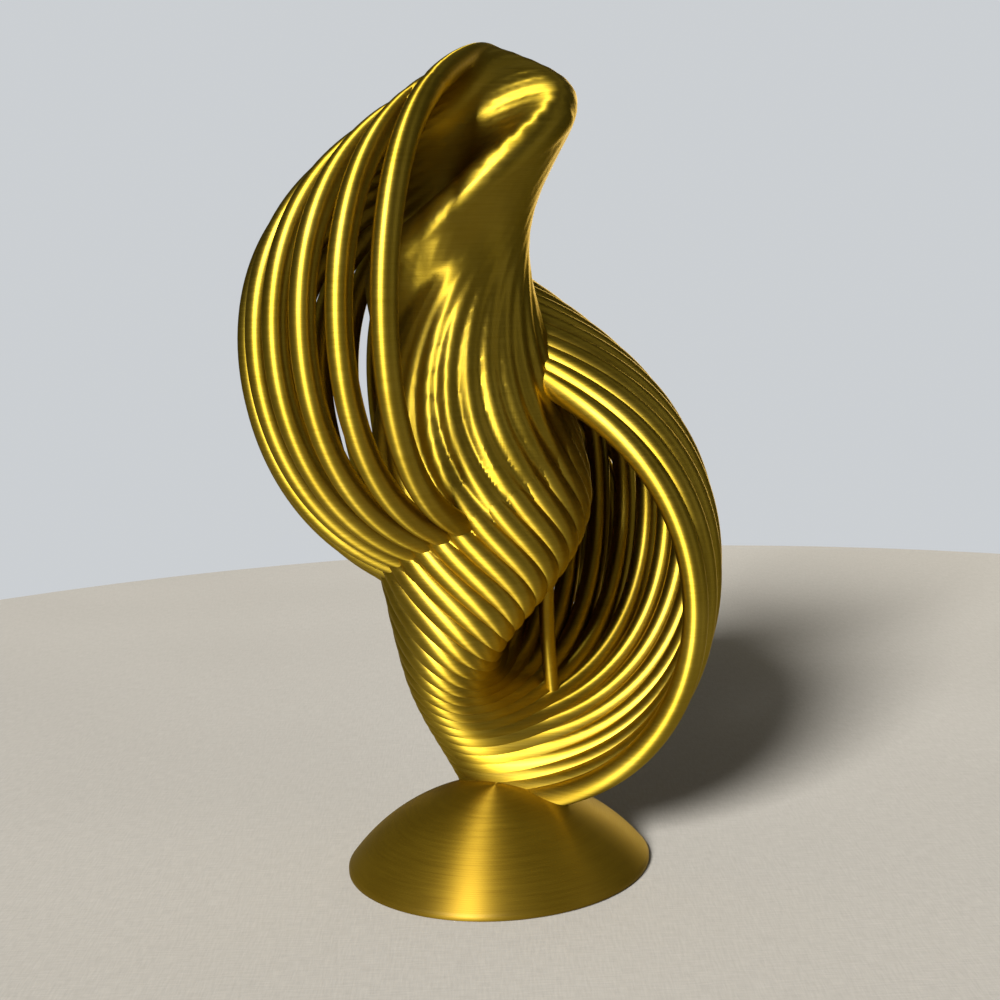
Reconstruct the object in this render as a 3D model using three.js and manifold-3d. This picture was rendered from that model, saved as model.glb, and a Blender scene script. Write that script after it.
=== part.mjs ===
// Abstract spiral sculpture: tubes laid as loops around a nearly upright axis, on a domed base.
// Millimetres and degrees, +Z up. The origin is on the table, under the middle of the base.
// The front is -Y and the right hand side is +X.

import * as THREE from 'three';
import { mergeVertices } from 'three/addons/utils/BufferGeometryUtils.js';
import Module from 'manifold-3d';

// Base: a low spherical dome on a thin upright rim.
const BASE_DIAMETER = 50;
const BASE_HEIGHT = 13;
const BASE_RIM = 0.8;

// Strands: round tubes, squeezed to a flat oval where they crowd together.
const STRAND_COUNT = 30;
const STRAND_DIAMETER = 4;
const STRAND_GAP = 0.3;
const FOLD_GAP = 0.2;
const SEAT_GAP = 0.3;

// How far the lowest strand's middle line lies under the top of the dome.
const SEAT_DEPTH = 2.6;

// Rim: the fold where the strands from this one on run together, and its place on their loops.
const RIM_DIAMETER = 4;
const RIM_FIRST_STRAND_NUMBER = 8;
const RIM_FRACTION = 0.285;

// Winding: the loops turn around an axis and sink along it, from the first strand to the last.
// Azimuth runs from the front (0) over the left (90) to the back (180).
const AXIS_X = 1.1;
const AXIS_Y = 4.1;
const AXIS_LEAN = -1;
const MIDDLE_AZIMUTH = 156;
const SWEEP = 257.4;
const SWEEP_LAG_ANGLE = -12.7;
const DESCENT = 45.7;

// Loop of the middle strand, away from the axis: how far its outer run reaches, how far its top is
// drawn back across the axis, and how its waist is pinched, skewed and rippled.
const OUT_OFFSET = 8;
const OUT_REACH = 15.2;
const OUT_TOP = -6.3;
const OUT_PINCH = 11.6;
const OUT_SKEW = -7.8;
const OUT_NOTCH = -2;
const OUT_RIPPLE = 1.9;

// Loop of the middle strand, around the axis: how far the outer run swings ahead of the inner one,
// and how the loop is warped out of its plane.
const SIDE_OFFSET = -6.5;
const SIDE_SWING = 11.1;
const SIDE_LEAN = -3.3;
const SIDE_BOW = -3;
const SIDE_TWIST = 1;

// Loop, along the axis: half its height, how far the outer run is raised over the inner one, and
// how its turns are rounded.
const RISE_HALF = 37.9;
const RISE_OUTER = 10.2;
const RISE_NOTCH = 2.1;
const RISE_RIPPLE = -0.4;

// How much larger these lengths are on the last strand than on the middle one.
const OUT_OFFSET_GROWTH = 2.6;
const OUT_REACH_GROWTH = -5.5;
const OUT_TOP_GROWTH = 3.2;
const OUT_PINCH_GROWTH = 0.7;
const OUT_SKEW_GROWTH = -2.5;
const SIDE_OFFSET_GROWTH = -2.2;
const SIDE_SWING_GROWTH = 9.2;
const SIDE_LEAN_GROWTH = -6.8;
const SIDE_BOW_GROWTH = 0.8;
const SIDE_TWIST_GROWTH = 3.2;

// Pull: how far the strands around this turn are drawn out, sideways and up under the rim, and the
// fraction of the loop around which they are.
const PULL_OUT = -1.6;
const PULL_SIDE = 6.2;
const PULL_RISE = -7.3;
const PULL_TURN = 0.14;
const PULL_TURN_WIDTH = 0.4;
const PULL_FRACTION = 0.404;
const PULL_FRACTION_WIDTH = 0.14;

// Facets
const LOOP_STEPS = 40;
const STRAND_SIDES = 6;
const BASE_SEGMENTS = 64;
const BASE_ARC_STEPS = 10;

// Strands fewer than this many places apart lie in one sheet. Others cross, and are looked for
// within the reach.
const SHEET_STRAND_COUNT = 9;
const SEARCH_REACH = 12;

// Slimming of crowded strands, round by round, down to the width at which they end.
const SLIMMING_RATIO = 0.93;
const SLIMMING_ROUND_COUNT = 60;
const SLIMMEST = 0.4;

// Clear stretches of a strand with fewer stations than this are left open. The ends of the others
// are found to a fraction of a step.
const SHORTEST_STATION_COUNT = 6;
const END_STEP_FRACTION = 0.125;

const GOLD = 0xb8921a;

const { degToRad } = THREE.MathUtils;
const strandRadius = STRAND_DIAMETER / 2;

// The closed path of one strand, in the frame of the winding axis.
// turn is -1 on the first strand, 0 on the middle one and 1 on the last.
class StrandPath extends THREE.Curve {
  constructor(turn) {
    super();
    this.turn = turn;
    const lag = SWEEP_LAG_ANGLE * (turn * turn - 1);
    const azimuth = degToRad(MIDDLE_AZIMUTH + (SWEEP / 2) * turn + lag);
    this.outward = new THREE.Vector3(-Math.sin(azimuth), -Math.cos(azimuth), 0);
    this.sideways = new THREE.Vector3(-Math.cos(azimuth), Math.sin(azimuth), 0);
  }

  getPoint(t, target = new THREE.Vector3()) {
    const cos = (n) => Math.cos(2 * Math.PI * n * t);
    const sin = (n) => Math.sin(2 * Math.PI * n * t);
    const grown = (length, growth) => length + growth * this.turn;
    const out = grown(OUT_OFFSET, OUT_OFFSET_GROWTH)
      + grown(OUT_REACH, OUT_REACH_GROWTH) * cos(1) + grown(OUT_TOP, OUT_TOP_GROWTH) * sin(1)
      + grown(OUT_PINCH, OUT_PINCH_GROWTH) * cos(2) + grown(OUT_SKEW, OUT_SKEW_GROWTH) * sin(2)
      + OUT_NOTCH * cos(3) + OUT_RIPPLE * sin(3);
    const side = grown(SIDE_OFFSET, SIDE_OFFSET_GROWTH)
      + grown(SIDE_SWING, SIDE_SWING_GROWTH) * cos(1) + grown(SIDE_LEAN, SIDE_LEAN_GROWTH) * sin(1)
      + grown(SIDE_BOW, SIDE_BOW_GROWTH) * cos(2) + grown(SIDE_TWIST, SIDE_TWIST_GROWTH) * sin(2);
    const rise = RISE_HALF * sin(1) + RISE_OUTER * cos(1)
      + RISE_NOTCH * cos(3) + RISE_RIPPLE * sin(3);
    const bell = (distance, width) => Math.exp(-((distance / width) ** 2));
    const pull = bell(this.turn - PULL_TURN, PULL_TURN_WIDTH)
      * bell(t - PULL_FRACTION, PULL_FRACTION_WIDTH);
    return target
      .set(0, 0, rise + PULL_RISE * pull - (DESCENT / 2) * this.turn)
      .addScaledVector(this.outward, out + PULL_OUT * pull)
      .addScaledVector(this.sideways, side + PULL_SIDE * pull);
  }
}

const paths = [];
for (let k = 0; k < STRAND_COUNT; k += 1) {
  paths.push(new StrandPath((2 * k) / (STRAND_COUNT - 1) - 1));
}

// A station is one cross-section of a strand: an oval whose depth is the tube's diameter and whose
// width leaves the gap to the strands on both sides.
function stationAt(k, step) {
  const t = ((step + LOOP_STEPS) % LOOP_STEPS) / LOOP_STEPS;
  const point = paths[k].getPoint(t);
  const tangent = paths[k].getTangent(t);
  const before = k > 0 ? paths[k - 1].getPoint(t) : point;
  const after = k < STRAND_COUNT - 1 ? paths[k + 1].getPoint(t) : point;
  const sideStep = (a, b) => b.clone().sub(a).projectOnPlane(tangent);
  const across = sideStep(before, after).normalize();
  const through = tangent.clone().cross(across);
  const spacings = [sideStep(before, point).length(), sideStep(point, after).length()];
  const spacing = Math.min(...spacings.filter((length) => length > 0));
  const halfWidth = Math.min(strandRadius, (spacing - STRAND_GAP) / 2);
  return { strand: k, step, point, across, through, halfWidth, halfDepth: strandRadius };
}

const stations = paths.map((path, k) => {
  const loop = [];
  for (let step = 0; step < LOOP_STEPS; step += 1) loop.push(stationAt(k, step));
  return loop;
});

// How far a station's oval reaches from its middle along an axis.
function reachOf(station, axis) {
  const wide = station.halfWidth * station.across.dot(axis);
  const deep = station.halfDepth * station.through.dot(axis);
  return Math.hypot(wide, deep);
}

// A run leads from one station to the next. The way to it is the shortest one from a station.
function wayTo(station, [from, to]) {
  const line = new THREE.Line3(from.point, to.point);
  return line.closestPointToPoint(station.point, true, new THREE.Vector3()).sub(station.point);
}

// The room left between a station and a run along an axis.
function roomAlong(axis, way, station, [from, to]) {
  const taken = reachOf(station, axis) + Math.max(reachOf(from, axis), reachOf(to, axis));
  return Math.abs(way.dot(axis)) - taken;
}

function crossingRoom(station, run) {
  const way = wayTo(station, run);
  return roomAlong(way.clone().normalize(), way, station, run);
}

// Strands of one sheet lie side by side, so the room between them may also show along a width.
function sheetRoom(station, run) {
  const way = wayTo(station, run);
  const axes = [way.clone().normalize(), station.across, run[0].across];
  return Math.max(...axes.map((axis) => roomAlong(axis, way, station, run)));
}

const allStations = stations.flat();
const allRuns = stations.flatMap((loop) => loop.map((here, i) => [here, loop[(i + 1) % LOOP_STEPS]]));
const isNear = (station, [other]) => station.point.distanceTo(other.point) < SEARCH_REACH;
const strandsApart = (station, [other]) => Math.abs(station.strand - other.strand);

// Where a sheet of strands folds sharply, the ovals get slimmer until they clear one another.
function slim(station) {
  if (station.halfDepth > station.halfWidth) station.halfDepth *= SLIMMING_RATIO;
  else station.halfWidth *= SLIMMING_RATIO;
}

let crowded = allStations.flatMap((station) => allRuns
  .filter((run) => {
    const apart = strandsApart(station, run);
    return apart > 0 && apart < SHEET_STRAND_COUNT && isNear(station, run);
  })
  .map((run) => ({ station, run })));
for (let round = 0; round < SLIMMING_ROUND_COUNT && crowded.length > 0; round += 1) {
  crowded = crowded.filter(({ station, run }) => sheetRoom(station, run) < FOLD_GAP);
  new Set(crowded.flatMap(({ station, run }) => [station, ...run])).forEach(slim);
}

// Rim: the fold in which the strands run together and slide along one another.
const rimStations = paths.slice(RIM_FIRST_STRAND_NUMBER - 1).map((path, i) => {
  const station = stationAt(RIM_FIRST_STRAND_NUMBER - 1 + i, RIM_FRACTION * LOOP_STEPS);
  station.halfWidth = RIM_DIAMETER / 2;
  station.halfDepth = RIM_DIAMETER / 2;
  return station;
});
const rimRuns = rimStations.slice(1).map((next, i) => [rimStations[i], next]);

// Where sheets cross, the strand that lies further out gives way.
const outness = (station) => Math.cos((2 * Math.PI * station.step) / LOOP_STEPS);

function isBlocked(station) {
  if (station.halfWidth < SLIMMEST / 2) return true;
  if (rimRuns.some((run) => crossingRoom(station, run) < STRAND_GAP)) return true;
  return allRuns.some((run) => strandsApart(station, run) >= SHEET_STRAND_COUNT
    && isNear(station, run)
    && outness(run[0]) < outness(station)
    && crossingRoom(station, run) < STRAND_GAP);
}

// The clear stretches of a strand, each with a last station added at both ends, as close to what
// stops it as it can be.
function clearStretches(loop) {
  const blocked = loop.map((station) => isBlocked(station)
    || isBlocked(stationAt(station.strand, station.step + 0.5)));
  const start = blocked.indexOf(true);
  if (start < 0) return [loop];
  const stretches = [[]];
  for (let i = 1; i <= loop.length; i += 1) {
    const at = (start + i) % loop.length;
    if (blocked[at]) stretches.push([]);
    else stretches[stretches.length - 1].push(loop[at]);
  }
  const tip = (from, direction) => {
    let end = from;
    for (let part = END_STEP_FRACTION; part < 1; part += END_STEP_FRACTION) {
      const next = stationAt(from.strand, from.step + direction * part);
      next.halfWidth = Math.min(next.halfWidth, from.halfWidth);
      next.halfDepth = from.halfDepth;
      if (isBlocked(next)) break;
      end = next;
    }
    return end === from ? [] : [end];
  };
  return stretches
    .filter((stretch) => stretch.length >= SHORTEST_STATION_COUNT)
    .map((stretch) => [...tip(stretch[0], -1), ...stretch, ...tip(stretch[stretch.length - 1], 1)]);
}

// A tube through oval stations, made wider all round by grow, with flat ends unless it closes.
function tubeGeometry(stretch, grow = 0) {
  const closed = stations.includes(stretch);
  const positions = [];
  for (const { point, across, through, halfWidth, halfDepth } of stretch) {
    for (let i = 0; i < STRAND_SIDES; i += 1) {
      const angle = (2 * Math.PI * i) / STRAND_SIDES;
      const corner = point.clone()
        .addScaledVector(across, (halfWidth + grow) * Math.cos(angle))
        .addScaledVector(through, (halfDepth + grow) * Math.sin(angle));
      positions.push(...corner.toArray());
    }
  }
  const at = (ring, i) => (ring % stretch.length) * STRAND_SIDES + (i % STRAND_SIDES);
  const spans = closed ? stretch.length : stretch.length - 1;
  const index = [];
  for (let ring = 0; ring < spans; ring += 1) {
    for (let i = 0; i < STRAND_SIDES; i += 1) {
      index.push(at(ring, i), at(ring, i + 1), at(ring + 1, i));
      index.push(at(ring, i + 1), at(ring + 1, i + 1), at(ring + 1, i));
    }
  }
  for (let i = 1; i < STRAND_SIDES - 1 && !closed; i += 1) {
    index.push(at(0, 0), at(0, i + 1), at(0, i));
    index.push(at(spans, 0), at(spans, i), at(spans, i + 1));
  }
  const geometry = new THREE.BufferGeometry();
  geometry.setAttribute('position', new THREE.Float32BufferAttribute(positions, 3));
  geometry.setIndex(index);
  return geometry;
}

// Base profile: out along the table, up the rim and over the dome to the axis.
function baseGeometry() {
  const radius = BASE_DIAMETER / 2;
  const crown = BASE_HEIGHT - BASE_RIM;
  const domeRadius = (radius * radius + crown * crown) / (2 * crown);
  const rimAngle = Math.asin(radius / domeRadius);
  const profile = [new THREE.Vector2(0, 0), new THREE.Vector2(radius, 0)];
  for (let i = 0; i <= BASE_ARC_STEPS; i += 1) {
    const angle = rimAngle * (1 - i / BASE_ARC_STEPS);
    const height = BASE_HEIGHT - domeRadius * (1 - Math.cos(angle));
    profile.push(new THREE.Vector2(domeRadius * Math.sin(angle), height));
  }
  return new THREE.LatheGeometry(profile, BASE_SEGMENTS).rotateX(Math.PI / 2);
}

const wasm = await Module();
wasm.setup();

function toSolid(geometry) {
  const bare = geometry.clone();
  bare.deleteAttribute('normal');
  bare.deleteAttribute('uv');
  const welded = mergeVertices(bare);
  return new wasm.Manifold(new wasm.Mesh({
    numProp: 3,
    vertProperties: new Float32Array(welded.attributes.position.array),
    triVerts: new Uint32Array(welded.index.array),
  }));
}

function toGeometry(solid) {
  const mesh = solid.getMesh();
  const geometry = new THREE.BufferGeometry();
  geometry.setAttribute('position', new THREE.BufferAttribute(mesh.vertProperties, 3));
  geometry.setIndex(new THREE.BufferAttribute(mesh.triVerts, 1));
  return geometry;
}

function namedMesh(name, geometry) {
  const material = new THREE.MeshStandardMaterial({ color: GOLD, roughness: 0.3, metalness: 0.6 });
  const mesh = new THREE.Mesh(geometry, material);
  mesh.name = name;
  return mesh;
}

// Strands, in a group that stands at the middle of the axis and leans with it.
const winding = new THREE.Group();
winding.rotation.y = degToRad(AXIS_LEAN);
winding.updateMatrixWorld();
const lowest = Math.min(...allStations.map((station) => winding.localToWorld(station.point.clone()).z));
winding.position.set(AXIS_X, AXIS_Y, BASE_HEIGHT - SEAT_DEPTH - lowest);
winding.updateMatrixWorld();

// The outermost piece of a strand has the strand's name, and the pieces inside it are its ribs.
const PIECE_ENDINGS = ['', '_rib', '_rib_lower', '_rib_lowest'];
const middleOutness = (stretch) => outness(stretch[Math.floor(stretch.length / 2)]);
const stretches = [];
stations.forEach((loop, k) => {
  const name = `strand_${String(k + 1).padStart(2, '0')}`;
  const pieces = clearStretches(loop).sort((a, b) => middleOutness(b) - middleOutness(a));
  pieces.forEach((stretch, i) => {
    winding.add(namedMesh(name + PIECE_ENDINGS[i], tubeGeometry(stretch)));
    stretches.push(stretch);
  });
});
winding.add(namedMesh('rim', tubeGeometry(rimStations)));

// Base, with a seat for each strand that sinks into its dome.
let base = toSolid(baseGeometry());
for (const stretch of stretches) {
  const seat = tubeGeometry(stretch, SEAT_GAP).applyMatrix4(winding.matrixWorld);
  seat.computeBoundingBox();
  if (seat.boundingBox.min.z < BASE_HEIGHT) base = base.subtract(toSolid(seat));
}
const [largest] = base.decompose().sort((a, b) => b.volume() - a.volume());

const group = new THREE.Group();
group.add(namedMesh('base', toGeometry(largest)), winding);

export default group;
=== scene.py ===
import math

import bmesh
import bpy
import numpy as np
from mathutils import Matrix, Vector


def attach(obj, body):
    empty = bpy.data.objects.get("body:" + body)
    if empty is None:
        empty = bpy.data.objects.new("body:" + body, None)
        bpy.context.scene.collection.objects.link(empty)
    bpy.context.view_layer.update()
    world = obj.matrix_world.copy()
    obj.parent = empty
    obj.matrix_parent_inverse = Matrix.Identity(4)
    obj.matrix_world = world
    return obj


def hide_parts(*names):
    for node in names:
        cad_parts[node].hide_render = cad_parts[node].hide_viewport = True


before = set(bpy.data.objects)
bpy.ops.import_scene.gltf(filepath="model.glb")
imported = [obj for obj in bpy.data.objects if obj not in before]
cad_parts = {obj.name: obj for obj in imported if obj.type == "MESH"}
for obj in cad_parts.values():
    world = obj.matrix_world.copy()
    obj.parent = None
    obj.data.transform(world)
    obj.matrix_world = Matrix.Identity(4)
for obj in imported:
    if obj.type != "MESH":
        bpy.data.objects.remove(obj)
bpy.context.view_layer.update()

# Sizes in millimetres and degrees, as in the part's source
MM = 0.001
BASE_DIAMETER = 50
BASE_HEIGHT = 13
BASE_RIM = 0.8
STRAND_COUNT = 30
STRAND_DIAMETER = 4
SEAT_DEPTH = 2.6
RIM_DIAMETER = 4
RIM_FIRST_STRAND_NUMBER = 8
RIM_FRACTION = 0.285
AXIS_X = 1.1
AXIS_Y = 4.1
AXIS_LEAN = -1
MIDDLE_AZIMUTH = 156
SWEEP = 257.4
SWEEP_LAG_ANGLE = -12.7
DESCENT = 45.7
OUT_OFFSET = 8
OUT_REACH = 15.2
OUT_TOP = -6.3
OUT_PINCH = 11.6
OUT_SKEW = -7.8
OUT_NOTCH = -2
OUT_RIPPLE = 1.9
SIDE_OFFSET = -6.5
SIDE_SWING = 11.1
SIDE_LEAN = -3.3
SIDE_BOW = -3
SIDE_TWIST = 1
RISE_HALF = 37.9
RISE_OUTER = 10.2
RISE_NOTCH = 2.1
RISE_RIPPLE = -0.4
OUT_OFFSET_GROWTH = 2.6
OUT_REACH_GROWTH = -5.5
OUT_TOP_GROWTH = 3.2
OUT_PINCH_GROWTH = 0.7
OUT_SKEW_GROWTH = -2.5
SIDE_OFFSET_GROWTH = -2.2
SIDE_SWING_GROWTH = 9.2
SIDE_LEAN_GROWTH = -6.8
SIDE_BOW_GROWTH = 0.8
SIDE_TWIST_GROWTH = 3.2
PULL_OUT = -1.6
PULL_SIDE = 6.2
PULL_RISE = -7.3
PULL_TURN = 0.14
PULL_TURN_WIDTH = 0.4
PULL_FRACTION = 0.404
PULL_FRACTION_WIDTH = 0.14

# Fineness of the tubes and the dome
SEAT_STEPS = 40
LOOP_STEPS = 180
STRAND_SIDES = 20
RIM_STEPS = 90
BASE_SEGMENTS = 160
BASE_ARC_STEPS = 40


# Paths of the strands
def strand_points(turn, t):
    """Points of a strand's middle line in the winding's own frame, in millimetres."""
    def cos(n):
        return np.cos(2 * np.pi * n * t)

    def sin(n):
        return np.sin(2 * np.pi * n * t)

    def grown(length, growth):
        return length + growth * turn

    def bell(distance, width):
        return np.exp(-((distance / width) ** 2))

    lag = SWEEP_LAG_ANGLE * (turn * turn - 1)
    azimuth = math.radians(MIDDLE_AZIMUTH + SWEEP / 2 * turn + lag)
    outward = np.array([-math.sin(azimuth), -math.cos(azimuth), 0])
    sideways = np.array([-math.cos(azimuth), math.sin(azimuth), 0])
    up = np.array([0, 0, 1])
    out = (grown(OUT_OFFSET, OUT_OFFSET_GROWTH)
           + grown(OUT_REACH, OUT_REACH_GROWTH) * cos(1) + grown(OUT_TOP, OUT_TOP_GROWTH) * sin(1)
           + grown(OUT_PINCH, OUT_PINCH_GROWTH) * cos(2) + grown(OUT_SKEW, OUT_SKEW_GROWTH) * sin(2)
           + OUT_NOTCH * cos(3) + OUT_RIPPLE * sin(3))
    side = (grown(SIDE_OFFSET, SIDE_OFFSET_GROWTH)
            + grown(SIDE_SWING, SIDE_SWING_GROWTH) * cos(1) + grown(SIDE_LEAN, SIDE_LEAN_GROWTH) * sin(1)
            + grown(SIDE_BOW, SIDE_BOW_GROWTH) * cos(2) + grown(SIDE_TWIST, SIDE_TWIST_GROWTH) * sin(2))
    rise = RISE_HALF * sin(1) + RISE_OUTER * cos(1) + RISE_NOTCH * cos(3) + RISE_RIPPLE * sin(3)
    pull = bell(turn - PULL_TURN, PULL_TURN_WIDTH) * bell(t % 1 - PULL_FRACTION, PULL_FRACTION_WIDTH)
    out = out + PULL_OUT * pull
    side = side + PULL_SIDE * pull
    rise = rise + PULL_RISE * pull - DESCENT / 2 * turn
    return out[:, None] * outward + side[:, None] * sideways + rise[:, None] * up


def turn_of(number):
    """Place of a strand in the winding, from -1 for the first to 1 for the last."""
    return 2 * (number - 1) / (STRAND_COUNT - 1) - 1


lean_angle = math.radians(AXIS_LEAN)
LEAN = np.array([[math.cos(lean_angle), 0, math.sin(lean_angle)],
                 [0, 1, 0],
                 [-math.sin(lean_angle), 0, math.cos(lean_angle)]])
seat_loop = np.arange(SEAT_STEPS) / SEAT_STEPS
lowest = min((strand_points(turn_of(number), seat_loop) @ LEAN.T)[:, 2].min()
             for number in range(1, STRAND_COUNT + 1))
MIDDLE = np.array([AXIS_X, AXIS_Y, BASE_HEIGHT - SEAT_DEPTH - lowest])


def placed(points):
    """Points of the winding in the part's frame, in metres."""
    return (points @ LEAN.T + MIDDLE) * MM


# Meshes
FRAME_START = (0.3, 0.5, 0.8)
CAP_ANGLES = (90, 65, 40, 18)
CAP_LEAST_SHARE = 0.04


def new_object(name, verts, faces, material):
    mesh = bpy.data.meshes.new(name)
    mesh.from_pydata([tuple(v) for v in verts], [], faces)
    mesh.validate()
    mesh.polygons.foreach_set("use_smooth", [True] * len(mesh.polygons))
    mesh.update()
    mesh.materials.append(material)
    obj = bpy.data.objects.new(name, mesh)
    bpy.context.scene.collection.objects.link(obj)
    return obj


def carried_frames(points, closed):
    """Tangents of a path, and two directions square to them that turn as little as they can."""
    ahead = np.roll(points, -1, axis=0)
    behind = np.roll(points, 1, axis=0)
    if not closed:
        ahead[-1] = points[-1]
        behind[0] = points[0]
    tangents = ahead - behind
    tangents /= np.linalg.norm(tangents, axis=1)[:, None]
    normal = np.cross(tangents[0], FRAME_START)
    normals = []
    for tangent in tangents:
        normal = normal - tangent * (normal @ tangent)
        normal = normal / np.linalg.norm(normal)
        normals.append(normal)
    normals = np.array(normals)
    return tangents, normals, np.cross(tangents, normals)


def tube(name, points, radii, material, closed, sides=STRAND_SIDES):
    """A round tube along points, with domed ends if it is open."""
    count = len(points)
    tangents, normals, binormals = carried_frames(points, closed)
    turns = np.zeros(count)
    if closed:
        last = normals[-1] - tangents[0] * (normals[-1] @ tangents[0])
        twist = math.atan2(last @ binormals[0], last @ normals[0])
        turns = -twist * np.arange(count) / count
    angle = 2 * np.pi * np.arange(sides) / sides + turns[:, None]
    ring = np.cos(angle)[..., None] * normals[:, None] + np.sin(angle)[..., None] * binormals[:, None]
    centres = points
    if not closed:
        cap = np.radians(CAP_ANGLES)
        head = points[0] - tangents[0] * (radii[0] * np.sin(cap))[:, None]
        tail = points[-1] + tangents[-1] * (radii[-1] * np.sin(cap[::-1]))[:, None]
        centres = np.concatenate([head, points, tail])
        shrink = np.maximum(np.cos(cap), CAP_LEAST_SHARE)
        radii = np.concatenate([radii[0] * shrink, radii, radii[-1] * shrink[::-1]])
        ring = np.concatenate([np.repeat(ring[:1], len(cap), 0), ring, np.repeat(ring[-1:], len(cap), 0)])
    verts = (centres[:, None] + ring * radii[:, None, None]).reshape(-1, 3)
    rings = len(centres)
    faces = []
    for i in range(rings if closed else rings - 1):
        j = (i + 1) % rings
        for a in range(sides):
            b = (a + 1) % sides
            faces.append((i * sides + a, i * sides + b, j * sides + b, j * sides + a))
    if not closed:
        faces.append(tuple(range(sides - 1, -1, -1)))
        faces.append(tuple((rings - 1) * sides + a for a in range(sides)))
    return new_object(name, verts, faces, material)


# Silk gold: a metallic satin whose sheen is drawn out across the fine level layers
EDGE_TINT = (1, 0.85, 0.45, 1)
COAT_WEIGHT = 0.05
COAT_ROUGHNESS = 0.38
SHEEN_STRETCH = 0.85
SHEEN_TURN = 0.25
STREAK_SCALE = (120, 120, 3600)
STREAK_DETAIL = 3.0
STREAK_SHARE = 0.5
CLOUD_SCALE = 90.0
CLOUD_DETAIL = 2.0
CLOUD_SHARE = 0.5
DARK_UP_TO = 0.25
LIGHT_FROM = 0.8
LAYER_THICKNESS = 0.24
LAYER_SHARE = 0.5
LAYER_BUMP_STRENGTH = 0.35
LAYER_BUMP_DEPTH = 0.02


def silk_gold(name, dark, light, smoothest, roughest, metallic):
    material = bpy.data.materials.new(name)
    material.use_nodes = True
    nodes, links = material.node_tree.nodes, material.node_tree.links
    shader = nodes["Principled BSDF"]
    shader.inputs["Metallic"].default_value = metallic
    shader.inputs["Specular Tint"].default_value = EDGE_TINT
    shader.inputs["Coat Weight"].default_value = COAT_WEIGHT
    shader.inputs["Coat Roughness"].default_value = COAT_ROUGHNESS
    shader.inputs["Anisotropic"].default_value = SHEEN_STRETCH
    shader.inputs["Anisotropic Rotation"].default_value = SHEEN_TURN

    # The layers lie level, so their direction on the surface is square to the normal and to Z.
    geometry = nodes.new("ShaderNodeNewGeometry")
    along = nodes.new("ShaderNodeVectorMath")
    along.operation = "CROSS_PRODUCT"
    along.inputs[1].default_value = (0, 0, 1)
    links.new(geometry.outputs["Normal"], along.inputs[0])
    links.new(along.outputs[0], shader.inputs["Tangent"])

    # Streaks are noise stretched level, so they change from layer to layer. Clouds are broader.
    place = nodes.new("ShaderNodeTexCoord")
    stretch = nodes.new("ShaderNodeMapping")
    stretch.inputs["Scale"].default_value = STREAK_SCALE
    streak = nodes.new("ShaderNodeTexNoise")
    streak.inputs["Scale"].default_value = 1.0
    streak.inputs["Detail"].default_value = STREAK_DETAIL
    cloud = nodes.new("ShaderNodeTexNoise")
    cloud.inputs["Scale"].default_value = CLOUD_SCALE
    cloud.inputs["Detail"].default_value = CLOUD_DETAIL
    links.new(place.outputs["Object"], stretch.inputs[0])
    links.new(stretch.outputs[0], streak.inputs["Vector"])
    links.new(place.outputs["Object"], cloud.inputs["Vector"])

    # Colour from both, roughness from the streaks
    streak_part = nodes.new("ShaderNodeMath")
    streak_part.operation = "MULTIPLY"
    streak_part.inputs[1].default_value = STREAK_SHARE
    blend = nodes.new("ShaderNodeMath")
    blend.operation = "MULTIPLY_ADD"
    blend.inputs[1].default_value = CLOUD_SHARE
    tone = nodes.new("ShaderNodeValToRGB")
    tone.color_ramp.elements[0].position = DARK_UP_TO
    tone.color_ramp.elements[0].color = dark
    tone.color_ramp.elements[1].position = LIGHT_FROM
    tone.color_ramp.elements[1].color = light
    links.new(streak.outputs["Fac"], streak_part.inputs[0])
    links.new(cloud.outputs["Fac"], blend.inputs[0])
    links.new(streak_part.outputs[0], blend.inputs[2])
    links.new(blend.outputs[0], tone.inputs[0])
    links.new(tone.outputs[0], shader.inputs["Base Color"])
    rough = nodes.new("ShaderNodeMapRange")
    rough.inputs["To Min"].default_value = smoothest
    rough.inputs["To Max"].default_value = roughest
    links.new(streak.outputs["Fac"], rough.inputs["Value"])
    links.new(rough.outputs[0], shader.inputs["Roughness"])

    # Layer lines, about a quarter of a millimetre apart
    split = nodes.new("ShaderNodeSeparateXYZ")
    level = nodes.new("ShaderNodeMath")
    level.operation = "MULTIPLY"
    level.inputs[1].default_value = 2 * math.pi / (LAYER_THICKNESS * MM)
    wave = nodes.new("ShaderNodeMath")
    wave.operation = "SINE"
    height = nodes.new("ShaderNodeMath")
    height.operation = "MULTIPLY_ADD"
    height.inputs[1].default_value = LAYER_SHARE
    bump = nodes.new("ShaderNodeBump")
    bump.inputs["Strength"].default_value = LAYER_BUMP_STRENGTH
    bump.inputs["Distance"].default_value = LAYER_BUMP_DEPTH * MM
    links.new(place.outputs["Object"], split.inputs[0])
    links.new(split.outputs["Z"], level.inputs[0])
    links.new(level.outputs[0], wave.inputs[0])
    links.new(wave.outputs[0], height.inputs[0])
    links.new(streak.outputs["Fac"], height.inputs[2])
    links.new(height.outputs[0], bump.inputs["Height"])
    links.new(bump.outputs[0], shader.inputs["Normal"])
    return material


gold = silk_gold("silk_gold", dark=(0.25, 0.164, 0.008, 1), light=(0.41, 0.292, 0.032, 1),
                 smoothest=0.45, roughest=0.60, metallic=1.0)
# A darker copy of the silk gold for the dome: painted shade that dims its level top, which faces the key
# light
dome_gold_painted_shade = silk_gold("silk_gold_painted_shade", dark=(0.12, 0.070, 0.003, 1), light=(0.18, 0.114, 0.007, 1),
                      smoothest=0.46, roughest=0.60, metallic=0.84)


def part_of(piece, *names):
    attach(piece, "root")
    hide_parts(*names)


# Reach of the hood along the loop, and the strands that it covers
HOOD_FROM, HOOD_FULL_FROM, HOOD_FULL_TO, HOOD_TO = 0.09, 0.255, 0.35, 0.56
HOOD_END = 0.025
HOOD_LAST_STRAND_NUMBER = 20


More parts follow.
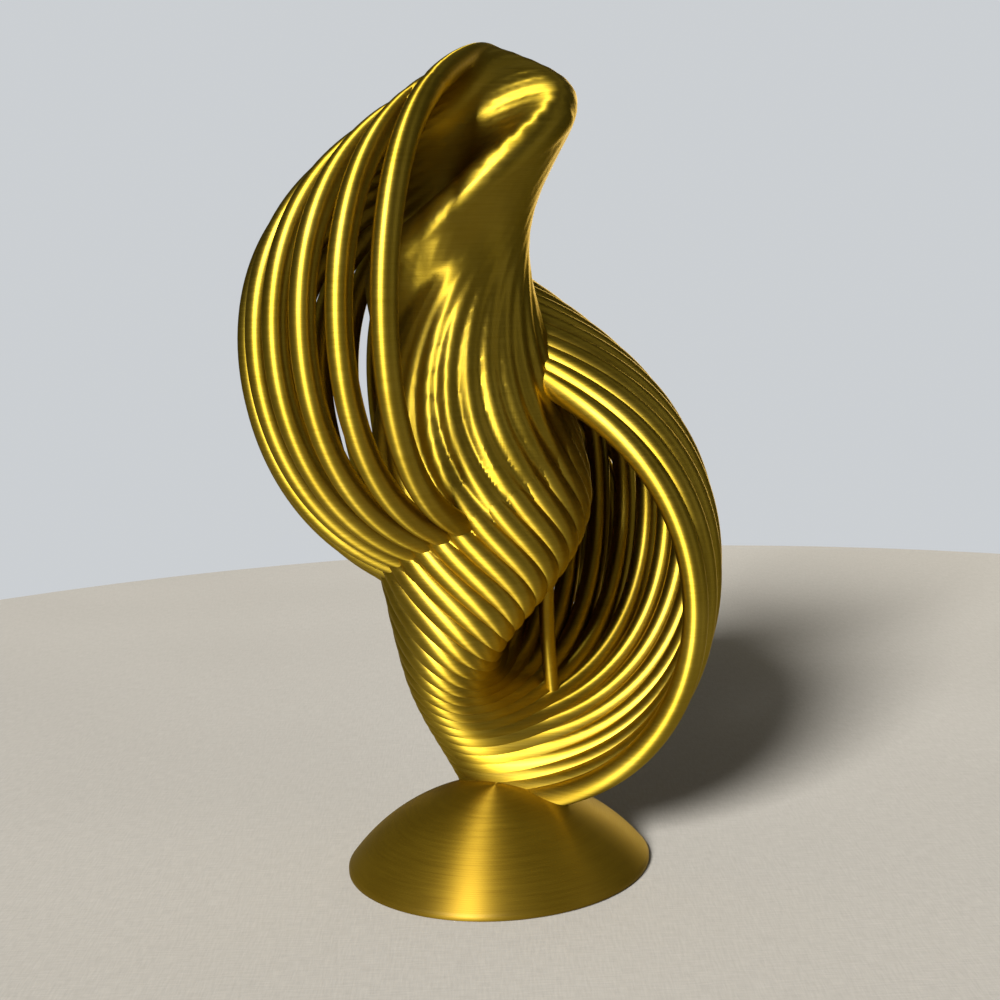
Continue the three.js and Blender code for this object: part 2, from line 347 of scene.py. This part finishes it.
def eased(value, low, high):
    share = np.clip((value - low) / (high - low), 0, 1)
    return share * share * (3 - 2 * share)


def melted_share(loop):
    """How far the strands are melted into one shell, from 0 to 1."""
    return eased(loop, HOOD_FROM, HOOD_FULL_FROM) * (1 - eased(loop, HOOD_FULL_TO, HOOD_TO))


def hood_share(loop):
    """1 where the shell covers the strands, falling to 0 at its ends."""
    return eased(loop, HOOD_FROM, HOOD_FROM + HOOD_END) * (1 - eased(loop, HOOD_TO - HOOD_END, HOOD_TO))


# Strands. They are slimmer inside the hood, and the last ones end behind the spine.
SLIM_SHARE = 0.9
LAST_WHOLE_STRAND_NUMBER = 26
OPEN_FROM = 0.13
OPEN_TO = 0.3

for number in range(1, STRAND_COUNT + 1):
    name = "strand_%02d" % number
    whole_loop = number <= LAST_WHOLE_STRAND_NUMBER
    if whole_loop:
        loop = np.arange(LOOP_STEPS) / LOOP_STEPS
    else:
        loop = np.linspace(OPEN_TO, 1 + OPEN_FROM, LOOP_STEPS)
    slimming = hood_share(loop % 1) if number <= HOOD_LAST_STRAND_NUMBER else 0 * loop
    radii = STRAND_DIAMETER / 2 * MM * (1 - (1 - SLIM_SHARE) * slimming)
    points = placed(strand_points(turn_of(number), loop))
    piece = tube("tube_%02d" % number, points, radii, gold, whole_loop)
    part_of(piece, *[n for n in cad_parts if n.startswith(name)])

# Rim
rim_turns = np.linspace(turn_of(RIM_FIRST_STRAND_NUMBER), 1, RIM_STEPS)
rim_points = placed(np.concatenate([strand_points(turn, np.array([RIM_FRACTION])) for turn in rim_turns]))
rim_radii = np.full(RIM_STEPS, RIM_DIAMETER / 2 * MM)
part_of(tube("rim_fold", rim_points, rim_radii, gold, False), "rim")

# Slim strut inside the lower fan, from the spine down to the bowl
STRUT_DIAMETER = 2.5
STRUT_TOP = np.array([10.1, -1.0, 50.2])
STRUT_BEND = np.array([9.4, 4.4, 39.0])
STRUT_FOOT = np.array([10.5, 9.7, 25.3])
STRUT_STEPS = 32

down = np.linspace(0, 1, STRUT_STEPS)[:, None]
strut_points = (1 - down) ** 2 * STRUT_TOP + 2 * down * (1 - down) * STRUT_BEND + down ** 2 * STRUT_FOOT
strut = tube("strut", strut_points * MM, np.full(STRUT_STEPS, STRUT_DIAMETER / 2 * MM), gold, False)
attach(strut, "root")

# Hood: the strands' crests melted into one shell with shallow ribs
PATHS_PER_STRAND = 4
PATH_STEPS = 100
PATH_SIDES = 12
RIB_RADIUS = 2.06
LEAST_WEB = 0.35
FULL_WEB = 0.96
END_SHARE = 0.9
RIM_SHARE = 1.22
VOXEL = 0.44
SOFTENING = 0.5
SOFTENING_ROUNDS = 3


def hood_tubes(name, material):
    """Tubes along the strands and in between, thinner between them, and one along the rim."""
    loop = np.linspace(HOOD_FROM, HOOD_TO, PATH_STEPS)
    web = LEAST_WEB + (FULL_WEB - LEAST_WEB) * melted_share(loop)
    ends = END_SHARE + (1 - END_SHARE) * hood_share(loop)
    tubes = []
    for i in range((HOOD_LAST_STRAND_NUMBER - 1) * PATHS_PER_STRAND + 1):
        number = 1 + i / PATHS_PER_STRAND
        ribbed = (1 + math.cos(2 * math.pi * number)) / 2
        radii = RIB_RADIUS * MM * (ribbed + (1 - ribbed) * web) * ends
        points = placed(strand_points(turn_of(number), loop))
        tubes.append(tube(name, points, radii, material, False, PATH_SIDES))
    on_hood = rim_turns <= turn_of(HOOD_LAST_STRAND_NUMBER)
    tubes.append(tube(name, rim_points[on_hood], RIM_SHARE * rim_radii[on_hood], material, False, PATH_SIDES))
    return tubes


def hood(name, material):
    joined = bmesh.new()
    for body in hood_tubes(name, material):
        body_mesh = body.data
        joined.from_mesh(body_mesh)
        bpy.data.objects.remove(body)
        bpy.data.meshes.remove(body_mesh)
    mesh = bpy.data.meshes.new(name)
    joined.to_mesh(mesh)
    joined.free()
    shell = bpy.data.objects.new(name, mesh)
    bpy.context.scene.collection.objects.link(shell)
    melt = shell.modifiers.new("melt", "REMESH")
    melt.mode = "VOXEL"
    melt.voxel_size = VOXEL * MM
    melt.use_smooth_shade = True
    soften = shell.modifiers.new("soften", "SMOOTH")
    soften.factor = SOFTENING
    soften.iterations = SOFTENING_ROUNDS
    bpy.context.view_layer.update()
    evaluated = shell.evaluated_get(bpy.context.evaluated_depsgraph_get())
    finished = bpy.data.meshes.new_from_object(evaluated)
    shell.modifiers.clear()
    shell.data = finished
    finished.name = name
    finished.materials.clear()
    finished.materials.append(material)
    bpy.data.meshes.remove(mesh)
    return shell


hood_shell = hood("hood_shell", gold)
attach(hood_shell, "root")

# Base
BASE_EDGE_INSET = 0.4
BASE_EDGE_HEIGHT = 0.25


def dome(name, material):
    """A spherical cap on a thin upright edge, closed underneath."""
    radius = BASE_DIAMETER / 2
    crown = BASE_HEIGHT - BASE_RIM
    sphere = (radius * radius + crown * crown) / (2 * crown)
    edge = math.asin(radius / sphere)
    profile = [(radius - BASE_EDGE_INSET, 0), (radius, BASE_EDGE_HEIGHT)]
    for i in range(BASE_ARC_STEPS):
        angle = edge * (1 - i / BASE_ARC_STEPS)
        profile.append((sphere * math.sin(angle), BASE_HEIGHT - sphere * (1 - math.cos(angle))))
    verts = [(0, 0, 0)]
    for r, z in profile:
        for a in range(BASE_SEGMENTS):
            angle = 2 * math.pi * a / BASE_SEGMENTS
            verts.append((r * math.cos(angle), r * math.sin(angle), z))
    verts.append((0, 0, BASE_HEIGHT))

    def at(ring, a):
        return 1 + ring * BASE_SEGMENTS + a % BASE_SEGMENTS

    last = len(profile) - 1
    faces = []
    for a in range(BASE_SEGMENTS):
        faces.append((0, at(0, a + 1), at(0, a)))
        faces.append((at(last, a), at(last, a + 1), len(verts) - 1))
        for ring in range(last):
            faces.append((at(ring, a), at(ring, a + 1), at(ring + 1, a + 1), at(ring + 1, a)))
    return new_object(name, np.array(verts) * MM, faces, material)


# The dome takes the darker copy of the silk gold, which is painted shade
part_of(dome("base_dome", dome_gold_painted_shade), "base")

# Floor: a round table top under a fine cloth, in metres
FLOOR_RADIUS = 0.3
FLOOR_SEGMENTS = 96
CLOTH_COLOUR = (0.262, 0.245, 0.214)
CLOTH_ROUGHNESS = 0.9
THREAD_SCALES = ((300, 2600, 2600), (2600, 300, 2600))
THREAD_DETAIL = 2.0
THREAD_SHADE_FROM = (0.6, 1.4)
THREAD_SHADE_TO = (0.90, 1.08)
THREAD_BUMP_STRENGTH = 0.25
THREAD_BUMP_DEPTH = 0.1
FOLD_SCALE = 9.0
FOLD_DETAIL = 1.0
FOLD_BUMP_STRENGTH = 0.5
FOLD_BUMP_DEPTH = 4


def cloth(name):
    """Threads of a fine cloth, crossing each other, with soft folds."""
    material = bpy.data.materials.new(name)
    material.use_nodes = True
    nodes, links = material.node_tree.nodes, material.node_tree.links
    shader = nodes["Principled BSDF"]
    shader.inputs["Roughness"].default_value = CLOTH_ROUGHNESS
    place = nodes.new("ShaderNodeTexCoord")
    crossing = nodes.new("ShaderNodeMath")
    crossing.operation = "ADD"
    for i, scale in enumerate(THREAD_SCALES):
        stretch = nodes.new("ShaderNodeMapping")
        stretch.inputs["Scale"].default_value = scale
        thread = nodes.new("ShaderNodeTexNoise")
        thread.inputs["Scale"].default_value = 1.0
        thread.inputs["Detail"].default_value = THREAD_DETAIL
        links.new(place.outputs["Object"], stretch.inputs[0])
        links.new(stretch.outputs[0], thread.inputs["Vector"])
        links.new(thread.outputs["Fac"], crossing.inputs[i])
    folds = nodes.new("ShaderNodeTexNoise")
    folds.inputs["Scale"].default_value = FOLD_SCALE
    folds.inputs["Detail"].default_value = FOLD_DETAIL
    links.new(place.outputs["Object"], folds.inputs["Vector"])

    shade = nodes.new("ShaderNodeMapRange")
    shade.inputs["From Min"].default_value, shade.inputs["From Max"].default_value = THREAD_SHADE_FROM
    shade.inputs["To Min"].default_value, shade.inputs["To Max"].default_value = THREAD_SHADE_TO
    tint = nodes.new("ShaderNodeVectorMath")
    tint.operation = "SCALE"
    tint.inputs[0].default_value = CLOTH_COLOUR
    links.new(crossing.outputs[0], shade.inputs["Value"])
    links.new(shade.outputs[0], tint.inputs["Scale"])
    links.new(tint.outputs[0], shader.inputs["Base Color"])

    thread_bump = nodes.new("ShaderNodeBump")
    thread_bump.inputs["Strength"].default_value = THREAD_BUMP_STRENGTH
    thread_bump.inputs["Distance"].default_value = THREAD_BUMP_DEPTH * MM
    fold_bump = nodes.new("ShaderNodeBump")
    fold_bump.inputs["Strength"].default_value = FOLD_BUMP_STRENGTH
    fold_bump.inputs["Distance"].default_value = FOLD_BUMP_DEPTH * MM
    links.new(crossing.outputs[0], thread_bump.inputs["Height"])
    links.new(folds.outputs["Fac"], fold_bump.inputs["Height"])
    links.new(fold_bump.outputs[0], thread_bump.inputs["Normal"])
    links.new(thread_bump.outputs[0], shader.inputs["Normal"])
    return material


floor_angles = [2 * math.pi * i / FLOOR_SEGMENTS for i in range(FLOOR_SEGMENTS)]
floor_edge = [(FLOOR_RADIUS * math.cos(angle), FLOOR_RADIUS * math.sin(angle), 0) for angle in floor_angles]
new_object("floor", floor_edge, [tuple(range(FLOOR_SEGMENTS))], cloth("pale_cloth"))

# Light: a soft key from the upper front left, a weak fill from the right and a low warm light behind
KEY_SIDE = (-0.39, -0.79, 0.48)
KEY_STRENGTH = 12
KEY_ANGLE = 18
LIGHT_TARGET = (0, 0, 0.07)
FILL_PLACE = (0.9, -0.3, 0.5)
FILL_SIZE = 0.6
FILL_POWER = 0.8
FILL_COLOUR = (1, 1, 1)
BACK_PLACE = (0.35, 0.95, 0.2)
BACK_SIZE = 0.5
BACK_POWER = 2.4
BACK_COLOUR = (1, 0.86, 0.58)
GLOW_COLOUR = (0.85, 0.88, 0.92, 1)
GLOW_STRENGTH = 0.08
WALL_COLOUR = (0.60, 0.625, 0.65, 1)


def new_light(name, kind, power, direction):
    data = bpy.data.lights.new(name, kind)
    data.energy = power
    light = bpy.data.objects.new(name, data)
    light.rotation_euler = direction.to_track_quat("-Z", "Y").to_euler()
    bpy.context.scene.collection.objects.link(light)
    return light


def area_light(name, place, size, power, colour):
    light = new_light(name, "AREA", power, Vector(LIGHT_TARGET) - Vector(place))
    light.location = place
    light.data.size = size
    light.data.color = colour


key = new_light("key", "SUN", KEY_STRENGTH, -Vector(KEY_SIDE))
key.data.angle = math.radians(KEY_ANGLE)
area_light("fill", FILL_PLACE, FILL_SIZE, FILL_POWER, FILL_COLOUR)
area_light("back", BACK_PLACE, BACK_SIZE, BACK_POWER, BACK_COLOUR)

# Surroundings: they are seen as a pale wall from every side, and give little light
world = bpy.data.worlds.new("studio")
world.use_nodes = True
nodes, links = world.node_tree.nodes, world.node_tree.links
glow = nodes["Background"]
glow.inputs["Color"].default_value = GLOW_COLOUR
glow.inputs["Strength"].default_value = GLOW_STRENGTH
wall = nodes.new("ShaderNodeBackground")
wall.inputs["Color"].default_value = WALL_COLOUR
ray = nodes.new("ShaderNodeLightPath")
choice = nodes.new("ShaderNodeMixShader")
links.new(ray.outputs["Is Camera Ray"], choice.inputs[0])
links.new(glow.outputs[0], choice.inputs[1])
links.new(wall.outputs[0], choice.inputs[2])
links.new(choice.outputs[0], nodes["World Output"].inputs["Surface"])
bpy.context.scene.world = world
bpy.context.scene.view_settings.view_transform = "Standard"

# Camera, at the photograph's view: place in millimetres, angles in degrees, clip distance in metres
PHOTO_PIXELS = 1000
FOCAL_PIXELS = 1450
SENSOR_WIDTH = 36
CAMERA_PLACE = (2.99, -232.2, 92.9)
PITCH = math.radians(7.92)
ROLL = math.radians(2.7)
CLIP_START = 0.01

forward = Vector((0, math.cos(PITCH), -math.sin(PITCH)))
level_right = Vector((1, 0, 0))
level_up = level_right.cross(forward)
right = math.cos(ROLL) * level_right - math.sin(ROLL) * level_up
up = math.sin(ROLL) * level_right + math.cos(ROLL) * level_up
camera_data = bpy.data.cameras.new("camera")
camera_data.sensor_width = SENSOR_WIDTH
camera_data.lens = FOCAL_PIXELS / PHOTO_PIXELS * SENSOR_WIDTH
camera_data.clip_start = CLIP_START
camera = bpy.data.objects.new("camera", camera_data)
move = Matrix.Translation([length * MM for length in CAMERA_PLACE])
camera.matrix_world = move @ Matrix((right, up, -forward)).transposed().to_4x4()
bpy.context.scene.collection.objects.link(camera)
bpy.context.scene.camera = camera
